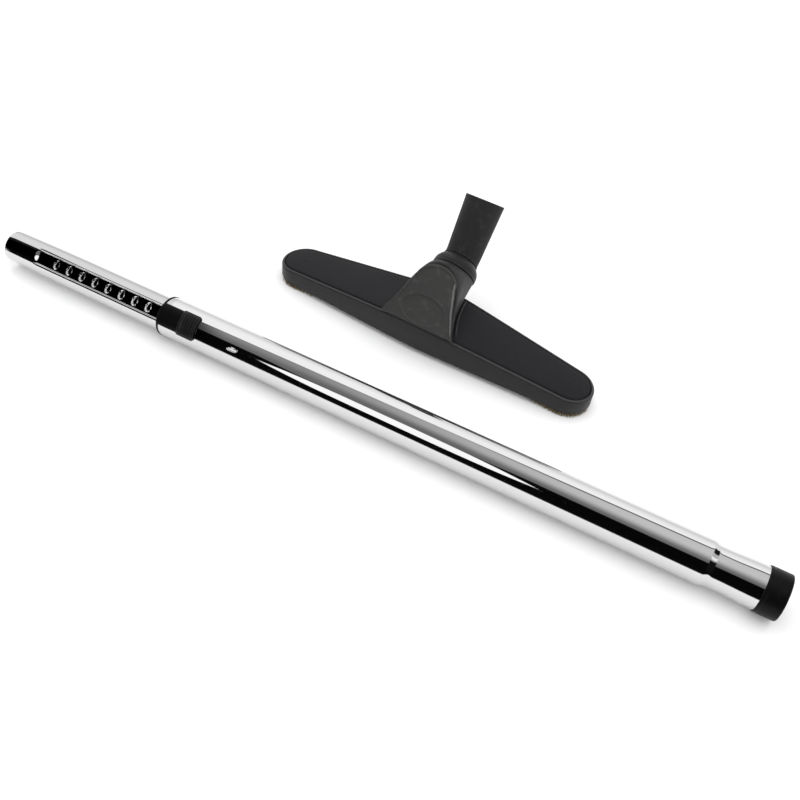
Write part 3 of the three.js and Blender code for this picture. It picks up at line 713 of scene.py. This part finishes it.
nylon = Finish("natural_nylon")
flow = nylon.noise(nylon.place((40, 160, 160)), 3, 3)
nylon_tone = nylon.mix(flow, (0.78, 0.76, 0.69, 1), (0.70, 0.67, 0.58, 1))
nylon_white = nylon.surface(Base_Color=nylon_tone, Roughness=0.38 + flow * 0.15, Subsurface_Weight=0.2,
                            Subsurface_Radius=(0.002, 0.002, 0.0015), Normal=nylon.bump(flow, 0.00002))
frame["nodes"]["inner_guide_sleeve"].data.materials[0] = nylon_white

# ------------------------ end collar
# Black plastic ring pressed over the flared end of the outer tube, where the hose's cuff goes in. Its outer edge
# is well rounded, and a shallow groove runs round it near the tube.
collar_black = moulding("collar_plastic", (0.0024, 0.0024, 0.0026), 0.4, 0.000008, specular=0.11)
collar_outline = rounded([
    (356, 17.75, 0.2), (356, 18.45, 0.25), (357.2, 18.7, 0.3), (358.6, 18.7, 0.2), (358.9, 18.5, 0.15),
    (359.5, 18.5, 0.15), (359.8, 18.7, 0.2), (373, 18.7, 1.5), (373, 16.65, 0.7), (371.8, 16.65, 0.2),
    (371.8, 17.75, 0)], 4)
fit(piece("end_collar_moulded", *turned(collar_outline, 120), WAND, collar_black), "wand_outer",
    "collar_plastic", "end_collar")

# ------------------------ floor tool: base housing
# The long black body of the floor tool, injection moulded in one piece: a shallow arch that is widest and
# highest in the middle. A rounded rim runs round its top edge with a fine groove inside it.
TOOL = Matrix.Translation((0.013, 0.02644, 0)) @ Matrix.Rotation(math.radians(-3.2), 4, "Z") @ MM
BASE_HALF, END_R = 167.6, 22.6
STRAIGHT = BASE_HALF - END_R
FRONT_BOW, BACK_BOW, RIDGE_Y = 29.5, 36.6, 2.8
MIDDLE_H, END_H = 31.7, 18.5
SKIRT_Z, BASE_WALL = 5.0, 2.5


def soft_abs(x):
    return math.hypot(x, 14) - 14


def reach(x, bow):
    return bow - (bow - END_R) * soft_abs(x) / soft_abs(STRAIGHT)


def edge_height(x):
    return MIDDLE_H - (MIDDLE_H - END_H) * soft_abs(x) / soft_abs(BASE_HALF)


def base_outline(inset, sides=110, ends=30):
    """Points round the base in plan, set in from its edge. A very large inset gives the line down its middle."""
    radius = max(END_R - inset, 0)

    def end_arc(middle, start):
        turns = [start + math.pi * k / ends for k in range(ends)]
        return [(middle + radius * math.cos(a), radius * math.sin(a)) for a in turns]

    def depth(x, bow, ridge):
        return max(reach(x, bow) - inset, ridge * (1 - abs(x) / STRAIGHT))

    step = 2 * STRAIGHT / sides
    places = [-STRAIGHT + 2 * STRAIGHT * k / sides for k in range(sides)]
    front = [(x, -depth(x, FRONT_BOW, -RIDGE_Y)) for x in places]
    back = [(x + step, depth(x + step, BACK_BOW, RIDGE_Y)) for x in reversed(places)]
    return front + end_arc(STRAIGHT, -math.pi / 2) + back + end_arc(-STRAIGHT, math.pi / 2)


def base_ring(inset, rise=None, z=None):
    return [(x, y, edge_height(x) + rise if z is None else z) for x, y in base_outline(inset)]


base_profile = [(0.0, -1.6), (0.12, -1.0), (0.4, -0.45), (0.85, -0.1), (1.4, 0.08), (2.0, 0.1), (2.4, -0.05),
                (2.7, -0.7), (3.1, -1.1), (3.5, -0.8), (3.8, 0.0), (4.2, 0.4), (5.0, 0.62), (7, 0.85), (10, 1.1),
                (14, 1.35), (18, 1.5), (22.59, 1.55), (26, 1.6), (40, 1.6)]
outside = [base_ring(0.35, z=SKIRT_Z), base_ring(0.0, z=SKIRT_Z + 0.5)]
outside += [base_ring(0.0, rise=-1.6 - 8.0 * (1 - k / 3)) for k in range(1, 3)]
outside += [base_ring(inset, rise=rise) for inset, rise in base_profile]
inside = [base_ring(BASE_WALL, z=SKIRT_Z), base_ring(BASE_WALL, z=SKIRT_Z + 0.5)]
inside += [base_ring(BASE_WALL, rise=-3.6 - 4.0 * (1 - k / 3)) for k in range(1, 3)]
for inset, rise in base_profile:
    under = min(rise, -0.9) - 1.6 if inset < 4 else rise - BASE_WALL
    inside.append(base_ring(max(inset, BASE_WALL), rise=under))
base_black = moulding("base_plastic", (0.0135, 0.0135, 0.0145), 0.5, 0.000016, 2600, 0.26)
# A darker, bluer copy of the base plastic for the faces that look up: painted shade on the top.
top_painted_shade = moulding("base_plate_plastic", (0.0075, 0.0073, 0.0100), 0.56, 0.00002, 2400, 0.17, (1, 1, 1.15))
base_made = piece("base_housing_moulded", *wall(outside, inside, far_rim=False), TOOL, base_black, 40)
# A paler, glossier copy of the base plastic along the rim's top: a painted highlight on the rim.
rim_painted_highlight = moulding("base_rim_plastic", (0.026, 0.026, 0.028), 0.45, 0.000016, 2600, 0.4)
base_made.data.materials.append(top_painted_shade)
base_made.data.materials.append(rim_painted_highlight)
PLATE_OVER_Z = 0.0165
from_tool = TOOL.inverted()
# Faces that look up, above the skirt, take the painted shade, or the painted highlight where they lie along the
# rim.
for face in base_made.data.polygons:
    spot = from_tool @ face.center
    beyond = max(abs(spot.x) - STRAIGHT, 0)
    bow = FRONT_BOW if spot.y < 0 else BACK_BOW
    inset = END_R - math.hypot(beyond, spot.y) if beyond else reach(spot.x, bow) - abs(spot.y)
    if face.normal.z > 0.5 and face.center.z > PLATE_OVER_Z:
        face.material_index = 2 if 0.6 < inset < 2.3 else 1
fit(base_made, "floor_tool", "base_plastic", "base_housing")

# ------------------------ floor tool: hood
# The hood carries the air from the base up to the neck. Its rear shell is drawn in from a wide foot to the round
# shoulder, and a flat, arched panel with a shallow oval closes its sloping front.
PANEL_SLOPE = math.radians(46)
PANEL_FOOT, PANEL_RISE = (0, -30, 32.8), 59.0
PANEL = TOOL @ Matrix.Translation(PANEL_FOOT) @ Matrix.Rotation(PANEL_SLOPE, 4, "X")


def leaning(degrees):
    """A direction that leans back from straight up."""
    return Vector((0, math.sin(math.radians(degrees)), math.cos(math.radians(degrees))))


SWIVEL, SWIVEL_AXIS = Vector((0, 47.2, 59.0)), leaning(60)
SWIVEL_UP = Vector((0, -SWIVEL_AXIS.z, SWIVEL_AXIS.y))
hood_grey = moulding("hood_plastic", (0.019, 0.019, 0.019), 0.56, 0.00003, 1900, 0.34)


def smooth_corners(corners, count):
    """Evenly spaced points along straight runs and quadratic bends, from (end) or (control, end)."""
    path = [Vector(corners[0])]
    for mark in corners[1:]:
        start = path[-1]
        if len(mark) == 2:
            path += [start + (Vector(mark) - start) * k / 8 for k in range(1, 9)]
        else:
            control, end = Vector(mark[:2]), Vector(mark[2:])
            path += [bend(start, control, end, k / 12) for k in range(1, 13)]
    lengths = [0]
    for before, after in zip(path, path[1:]):
        lengths.append(lengths[-1] + (after - before).length)
    spaced, at = [], 0
    for k in range(count):
        want = lengths[-1] * k / count
        while lengths[at + 1] < want:
            at += 1
        span = lengths[at + 1] - lengths[at]
        spaced.append(path[at].lerp(path[at + 1], (want - lengths[at]) / span if span else 0))
    return spaced


def hood_foot(inset, count):
    front, back, wide, narrow, corner = -27.5 + inset, 29 - inset, 36 - inset, 17 - inset, 5
    return smooth_corners([
        (0, front), (wide - corner, front), (wide, front, wide - 1, front + corner),
        (narrow + 4, 0, narrow, back - corner), (narrow, back, narrow - corner, back),
        (corner - narrow, back), (-narrow, back, -narrow, back - corner),
        (-narrow - 4, 0, 1 - wide, front + corner), (-wide, front, corner - wide, front), (0, front)], count)


def hood_rings(inset, low, shoulder_r, shoulder_u, brow, count=132, steps=26):
    foot = hood_foot(inset, count)
    centre = SWIVEL + SWIVEL_AXIS * shoulder_u
    lean = Matrix.Rotation(PANEL_SLOPE, 3, "X")
    outward, upward = lean @ Vector((0, 0, 1)), lean @ Vector((0, 1, 0))
    rings = []
    for k in range(steps + 1):
        part = k / steps
        pull = 1 - (1 - part) ** 1.7
        ring = []
        for i, (x, y) in enumerate(foot):
            angle = 2 * math.pi * i / count
            end = centre + SWIVEL_UP * (shoulder_r * math.cos(angle))
            end.x += shoulder_r * math.sin(angle)
            front = max(math.cos(angle), 0) ** 0.7
            start = Vector((0, y, low))
            middle = (start + end) / 2
            middle = middle + (Vector((0, *brow)) - middle) * front
            p = bend(start, middle, end, part)
            p.x = x + (end.x - x) * pull
            off = p - Vector(PANEL_FOOT)
            proud, along = off.dot(outward) + 2.5 + inset, off.dot(upward)
            if proud > 0:
                p = p - outward * proud * (1 - fade(along, PANEL_RISE, PANEL_RISE + 3))
            ring.append(tuple(p))
        rings.append(ring)
    return rings


def bead(path, radius, sides=8):
    """A thin round bead along a path of points."""
    rings = []
    for k, here in enumerate(path):
        ahead = (Vector(path[min(k + 1, len(path) - 1)]) - Vector(path[max(k - 1, 0)])).normalized()
        side = ahead.cross(Vector((0, 0, 1))).normalized()
        over = side.cross(ahead)
        end = 0.2 if k in (0, len(path) - 1) else 1
        rings.append([tuple(Vector(here) + (side * math.cos(a) + over * math.sin(a)) * radius * end)
                      for a in full_turn(sides)])
    points = [p for ring in rings for p in ring]
    faces = [(i * sides + j, i * sides + (j + 1) % sides, (i + 1) * sides + (j + 1) % sides, (i + 1) * sides + j)
             for i in range(len(rings) - 1) for j in range(sides)]
    return points, faces + [tuple(range(sides)), tuple(len(points) - 1 - s for s in range(sides))]


shell_out = hood_rings(0, 29, 21.5, -13.3, (2, 92))
shell_in = hood_rings(2.6, 27, 15.5, -13.6, (2, 82))
flange_curve = [(39.0, -23.4, 33.1), (34.6, -15.5, 33.5), (30.6, -6.5, 33.6), (27.2, 3, 33.7), (24.6, 12, 33.7),
                (22.4, 22, 33.6), (20.8, 31, 33.2)]
flanges = [bead([(side * x, y, z) for x, y, z in flange_curve], 0.95) for side in (1, -1)]
fit(piece("hood_rear_shell_moulded", *joined(wall(shell_out, shell_in), *flanges), TOOL, hood_grey, 42),
    "floor_tool", "hood_plastic", "hood_rear_shell")

panel_side = [(38.2, 0), (35.6, 4), (32.8, 10), (27.7, 22), (22.4, 38), (20.2, 44)]
arch_turns = [k * math.pi / 32 for k in range(1, 17)]
panel_side += [(20.2 * math.cos(a), 44 + 15 * math.sin(a) ** 1.15) for a in arch_turns]
dense_side = []
for (xa, ya), (xb, yb) in zip(panel_side, panel_side[1:]):
    count = max(1, round(math.hypot(xb - xa, yb - ya) / 1.6))
    dense_side += [(xa + (xb - xa) * k / count, ya + (yb - ya) * k / count) for k in range(count)]
panel_edge = [(-38.2 + 76.4 * k / 48, 0) for k in range(48)] + dense_side
panel_edge += [(0, PANEL_RISE)] + [(-x, y) for x, y in reversed(dense_side[1:])]
OVAL = (0, 15, 21.5, 13)
PANEL_MIDDLE, PANEL_UNDER = 22, -2.2


def panel_height(x, y, share):
    lip = 0.95 * fade(share, 0.905, 0.945) * fade(y, 1, 5)
    far = math.hypot((x - OVAL[0]) / OVAL[2], (y - OVAL[1]) / OVAL[3])
    sunk = 0.85 * (1 - fade(far, 0.94, 1.0)) - 0.32 * math.exp(-((far - 1.04) / 0.03) ** 2)
    crown = 0.9 * (1 - (x / 34) ** 2) * (1 - ((y - 24) / 40) ** 2)
    return lip + max(crown, 0) - sunk


panel_shares = [1.0, 0.997, 0.988, 0.975, 0.96, 0.945, 0.93, 0.915, 0.90]
panel_shares += [0.9 * (1 - k / 44) for k in range(1, 45)]
panel_top, panel_under = [], []
for share in panel_shares:
    edge = 0.8 * (1 - min((1 - share) / 0.025, 1)) ** 2
    ring = [(x * share, PANEL_MIDDLE + (y - PANEL_MIDDLE) * share) for x, y in panel_edge]
    panel_top.append([(x, y, panel_height(x, y, share) - edge) for x, y in ring])
    panel_under.append([(x, y, PANEL_UNDER) for x, y in ring])
panel_grey = moulding("panel_plastic", (0.031, 0.031, 0.030), 0.6, 0.00007, 1300, 0.34, mottle=1.0)
lip_line = bead([(x - 0.9, y, 1.0) for x, y in dense_side if 3 < y < 48], 0.5)
panel_skin = joined(wall(panel_top, panel_under, far_rim=False), lip_line)
panel_made = piece("hood_front_panel_moulded", *panel_skin, PANEL, panel_grey, 50)
# A much paler, glossier copy of the panel plastic for the lip and bead down the right edge: a painted highlight.
lip_painted_highlight = moulding("panel_lip_plastic", (0.12, 0.12, 0.118), 0.42, 0.00002, 1700, 0.5)
panel_made.data.materials.append(lip_painted_highlight)
from_panel = PANEL.inverted()
for face in panel_made.data.polygons:
    spot = from_panel @ face.center
    face.material_index = int(spot.z > 1.08 and spot.x > 18)
fit(panel_made, "floor_tool", "hood_plastic", "hood_front_panel")


# ------------------------ floor tool: swivel collar and felt seal
# A domed ring clipped over the hood's spout, with two fine grooves round it. It holds the elbow's flange, which
# turns against a dark felt washer.
turn_to_swivel = Vector((1, 0, 0)).rotation_difference(SWIVEL_AXIS).to_matrix().to_4x4()
NECK = TOOL @ Matrix.Translation(SWIVEL) @ turn_to_swivel
collar_ring = rounded([
    (-13, 17.4, 0.2), (-13, 22.0, 0.4), (-12.2, 22.3, 0.3), (-10.3, 22.3, 0.2), (-9.9, 21.9, 0.15),
    (-9.5, 22.2, 0.2), (-8, 22.05, 0.4), (-7.5, 21.6, 0.2), (-7.1, 21.85, 0.3), (-5.6, 21.3, 0.5),
    (-5.2, 21.0, 0.3), (-4.4, 20.7, 0.4), (-2.2, 19.2, 0.8), (-0.7, 17.9, 0.5), (0, 16.9, 0.3),
    (0, 15.8, 0.2), (-4, 15.8, 0.2), (-4, 17.4, 0.2)], 4)
collar_grey = moulding("swivel_collar_plastic", (0.0130, 0.0130, 0.0130), 0.48, 0.00005, 1500, 0.28, mottle=1.0)
fit(piece("swivel_collar_moulded", *turned(collar_ring, 120), NECK, collar_grey, 38), "floor_tool",
    "hood_plastic", "swivel_collar")

felt = Finish("felt_washer")
fibre = felt.noise(felt.place(), 1800, 5, 0.7)
felt_tone = felt.mix(fibre, (0.03, 0.03, 0.028, 1), (0.075, 0.073, 0.068, 1))
frame["nodes"]["swivel_seal"].data.materials[0] = felt.surface(
    Base_Color=felt_tone, Roughness=0.95, Sheen_Weight=0.3, Normal=felt.bump(fibre, 0.00015))

# ------------------------ floor tool: elbow
# The bent neck that the wand's tip pushes into. Its stepped foot turns in the collar, and above the bend it is a
# straight socket that widens to its mouth.
BEND_U, BEND_R, HALF_BEND = 5.65, 20.0, math.radians(13.25)
SOCKET_AXIS, SOCKET_LENGTH = leaning(33.5), 56.0
tangent = BEND_R * math.tan(HALF_BEND)
BEND_FROM = BEND_U - tangent
BEND_TO = BEND_FROM + BEND_R * 2 * HALF_BEND
MOUTH = BEND_TO + SOCKET_LENGTH - tangent
side_way = Vector((1, 0, 0))


def elbow_ring(way, radius):
    """One ring of the elbow, at a distance along its bent centre line from the collar's face."""
    if way <= BEND_FROM:
        centre, ahead = SWIVEL + SWIVEL_AXIS * way, SWIVEL_AXIS
    elif way >= BEND_TO:
        centre = SWIVEL + SWIVEL_AXIS * BEND_U + SOCKET_AXIS * (tangent + way - BEND_TO)
        ahead = SOCKET_AXIS
    else:
        turn = (way - BEND_FROM) / BEND_R
        centre = SWIVEL + SWIVEL_AXIS * (BEND_FROM + BEND_R * math.sin(turn))
        centre += SWIVEL_UP * BEND_R * (1 - math.cos(turn))
        ahead = SWIVEL_AXIS * math.cos(turn) + SWIVEL_UP * math.sin(turn)
    over = side_way.cross(ahead).normalized()
    return [tuple(centre + side_way * radius * math.sin(a) + over * radius * math.cos(a)) for a in full_turn(108)]


elbow_profile = [(-7.3, 16.8), (-7.1, 17.0), (-4.5, 17.0), (-4.4, 15.4), (-4.35, 15.4), (0.25, 15.4),
                 (0.3, 15.5), (0.32, 17.2), (0.5, 17.45), (1.5, 17.5), (1.8, 17.3), (1.95, 16.95), (2.6, 16.9),
                 (4, 16.9)]
elbow_profile += [(way, 16.9 + 0.12 * fade(way, 4, BEND_TO)) for way in (5, 6, 7, 8, 9, BEND_TO)]
elbow_profile += [(BEND_TO + 1 + k * 5.0, 17.08 + 1.95 * (k / 10)) for k in range(0, 10)]
elbow_profile += [(MOUTH - 0.9, 19.08), (MOUTH - 0.4, 19.0), (MOUTH - 0.1, 18.8), (MOUTH, 18.5)]


def elbow_bore(way):
    if way < BEND_TO:
        return 13.0 + 1.2 * fade(way, 0, 9)
    return 14.2 + 1.9 * (way - BEND_TO) / (MOUTH - BEND_TO) + 0.3 * fade(way, MOUTH - 0.5, MOUTH)


elbow_skin = wall([elbow_ring(*mark) for mark in elbow_profile],
                  [elbow_ring(way, elbow_bore(way)) for way, radius in elbow_profile])
elbow_grey = moulding("elbow_plastic", (0.0175, 0.0175, 0.0177), 0.6, 0.00005, 1700, 0.15, mottle=1.0)
fit(piece("elbow_tube_moulded", *elbow_skin, TOOL, elbow_grey, 38), "elbow", "hood_plastic", "elbow_tube")

# ------------------------ floor tool: sole frame and brush ring
# The flat plate with the suction slot that closes the base from below, and the strip that the bristles are set in.
# Both keep their shapes, in the base's black plastic a little plainer.
sole_black = moulding("sole_plastic", (0.012, 0.012, 0.0135), 0.52, 0.00002, 2600, 0.3)
for node in ("sole_frame", "brush_ring"):
    frame["nodes"][node].data.materials[0] = sole_black

# ------------------------ floor tool: bristles
# Dark brown bristle with pale tips, set close together in a ring right round the sole. Those at the two ends
# lean outwards, so they show past the base.
BRUSH_R, BRUSH_HALF, BRISTLE_TOP = 15.8, 1.7, 7.6
SPLIT_X = 122.0
SPLAY = 0.0048
hair = Finish("bristle")
height = hair.parts(hair.spot())[2]
lock = hair.noise(hair.place((1, 1, 0.1)), 1500, 2)
brown = hair.mix(lock, (0.028, 0.012, 0.008, 1), (0.085, 0.042, 0.026, 1))
tips = (1 - height.between(0.0010, 0.0034)) * lock.between(0.3, 0.6)
hair_tone = hair.mix(tips, brown, (0.34, 0.29, 0.15, 1))
hair_brown = hair.surface(Base_Color=hair_tone, Roughness=0.55 + lock * 0.2, Specular_IOR_Level=0.3)


def grow_bristles(blank, material):
    """Thin tapered hairs planted along a path, each with its own lean and length."""
    rows = Repeat("planted_bristles", "Path", "Bristles", {
        "Spacing": 0.00034, "Half width": BRUSH_HALF * 0.001, "Length": BRISTLE_TOP * 0.001,
        "Thickness": 0.00021, "Rows": 4})
    size = rows.size
    curve = rows.node("GeometryNodeMeshToCurve", {0: rows.given})
    planted = rows.node("GeometryNodeCurveToPoints", {"Curve": curve, "Length": size["Spacing"]}, mode="LENGTH")
    many = rows.node("GeometryNodeDuplicateElements", {"Geometry": planted, "Amount": size["Rows"]},
                     domain="POINT")
    spread = rows.random((-1, -1, 0), (1, 1, 0), 3)
    away = rows.node("ShaderNodeVectorMath", {0: spread, 3: size["Half width"]}, operation="SCALE")
    moved = rows.node("GeometryNodeSetPosition", {"Geometry": many, "Offset": away})
    cone = rows.node("GeometryNodeMeshCone", {
        "Vertices": 4, "Radius Top": size["Thickness"] * 0.55, "Radius Bottom": size["Thickness"],
        "Depth": size["Length"]}, fill_type="NGON")
    hung = rows.node("GeometryNodeTransform", {"Geometry": cone, "Rotation": (math.pi, 0, 0)})
    lean = rows.random((-0.13, -0.13, 0.0), (0.13, 0.13, 3.1), 11)
    long = rows.random((0.9, 0.9, 0.93), (1.15, 1.15, 0.985), 17)
    rows.grow(blank, rows.node("GeometryNodeInstanceOnPoints", {
        "Points": moved, "Instance": hung, "Rotation": lean, "Scale": long}), material)


def point_mesh(name, points, edges=()):
    mesh = bpy.data.meshes.new(name)
    mesh.from_pydata([TOOL @ Vector(p) for p in points], edges, [])
    return link(name, mesh)


def plant(name, path, node, splay=None):
    edges = [(k, k + 1) for k in range(len(path) - 1)]
    blank = point_mesh(name + "_path", [(x, y, BRISTLE_TOP) for x, y in path], edges)
    grow_bristles(blank, hair_brown)
    made = baked(blank, name, crease=180)
    if splay is not None:
        centre = TOOL @ Vector((splay, 0, 0))
        for vertex in made.data.vertices:
            away = Vector((vertex.co.x - centre.x, vertex.co.y - centre.y, 0))
            hung = 1 - min(vertex.co.z / (BRISTLE_TOP * 0.001), 1)
            vertex.co += away.normalized() * SPLAY * hung
    fit(made, "floor_tool", "bristle", node)


def brush_end(side):
    turns = [-math.pi / 2 + math.pi * k / 20 for k in range(21)]
    arc = [(side * (STRAIGHT + BRUSH_R * math.cos(a)), BRUSH_R * math.sin(a)) for a in turns]
    return [(side * (SPLIT_X + 0.6), -BRUSH_R)] + arc + [(side * (SPLIT_X + 0.6), BRUSH_R)]


plant("bristles_front", [(-SPLIT_X, -BRUSH_R), (SPLIT_X, -BRUSH_R)], "front_bristles")
plant("bristles_rear", [(-SPLIT_X, BRUSH_R), (SPLIT_X, BRUSH_R)], "rear_bristles")
plant("bristles_left", brush_end(-1), "left_bristles", -STRAIGHT)
plant("bristles_right", brush_end(1), "right_bristles", STRAIGHT)

# ------------------------ floor tool: sole screws
# Six cross-head screws hold the sole frame to the bosses in the base. They are zinc plated, with low round heads
# that lie in the frame.
SCREWS = [(-132, 0), (132, 0), (-52, -10.4), (52, -10.4), (-52, 10.4), (52, 10.4)]
SCREW_Z = 9.95


def add_screws(blank, material):
    """A pan head with a cross cut in it, and its shank, at each point of a mesh."""
    row = Repeat("sole_screws", "Places", "Screws", {
        "Head radius": 0.0030, "Head height": 0.0015, "Shank radius": 0.0015, "Shank length": 0.0086,
        "Cross": 0.0008})
    size = row.size

    def shifted(geometry, z):
        shift = row.node("ShaderNodeCombineXYZ", {"Z": z})
        return row.node("GeometryNodeTransform", {"Geometry": geometry, "Translation": shift})

    def rod(sides, part, depth):
        values = {"Vertices": sides, "Radius": size[part + " radius"], "Depth": size[depth]}
        return row.node("GeometryNodeMeshCylinder", values)

    head = rod(24, "Head", "Head height")
    cut = row.nodes.nodes.new("GeometryNodeMeshBoolean")
    cut.operation = "DIFFERENCE"
    row.nodes.links.new(head.socket, cut.inputs[0])
    for turn in (0, math.pi / 2):
        block = row.node("ShaderNodeCombineXYZ", {
            "X": size["Head radius"] * 1.3, "Y": size["Cross"], "Z": size["Head height"]})
        cube = row.node("GeometryNodeMeshCube", {"Size": block})
        spun = row.node("GeometryNodeTransform", {"Geometry": cube, "Rotation": (0, 0, turn)})
        row.nodes.links.new(shifted(spun, size["Head height"] * -0.55).socket, cut.inputs[1])
    raised = shifted(rod(16, "Shank", "Shank length"), (size["Shank length"] + size["Head height"]) * 0.5)
    screw = row.merged(Reading(row, cut.outputs[0]), raised)
    turned_at = row.random((0, 0, 0), (0, 0, 1.5), 5)
    row.grow(blank, row.node("GeometryNodeInstanceOnPoints", {
        "Points": row.given, "Instance": screw, "Rotation": turned_at}), material)


screw_blank = point_mesh("screw_points", [(x, y, SCREW_Z) for x, y in SCREWS])
add_screws(screw_blank, zinc)
fit(baked(screw_blank, "sole_screws_cross_head"), "floor_tool", "small_steel",
    *[f"sole_screw_{k}" for k in range(1, 7)])
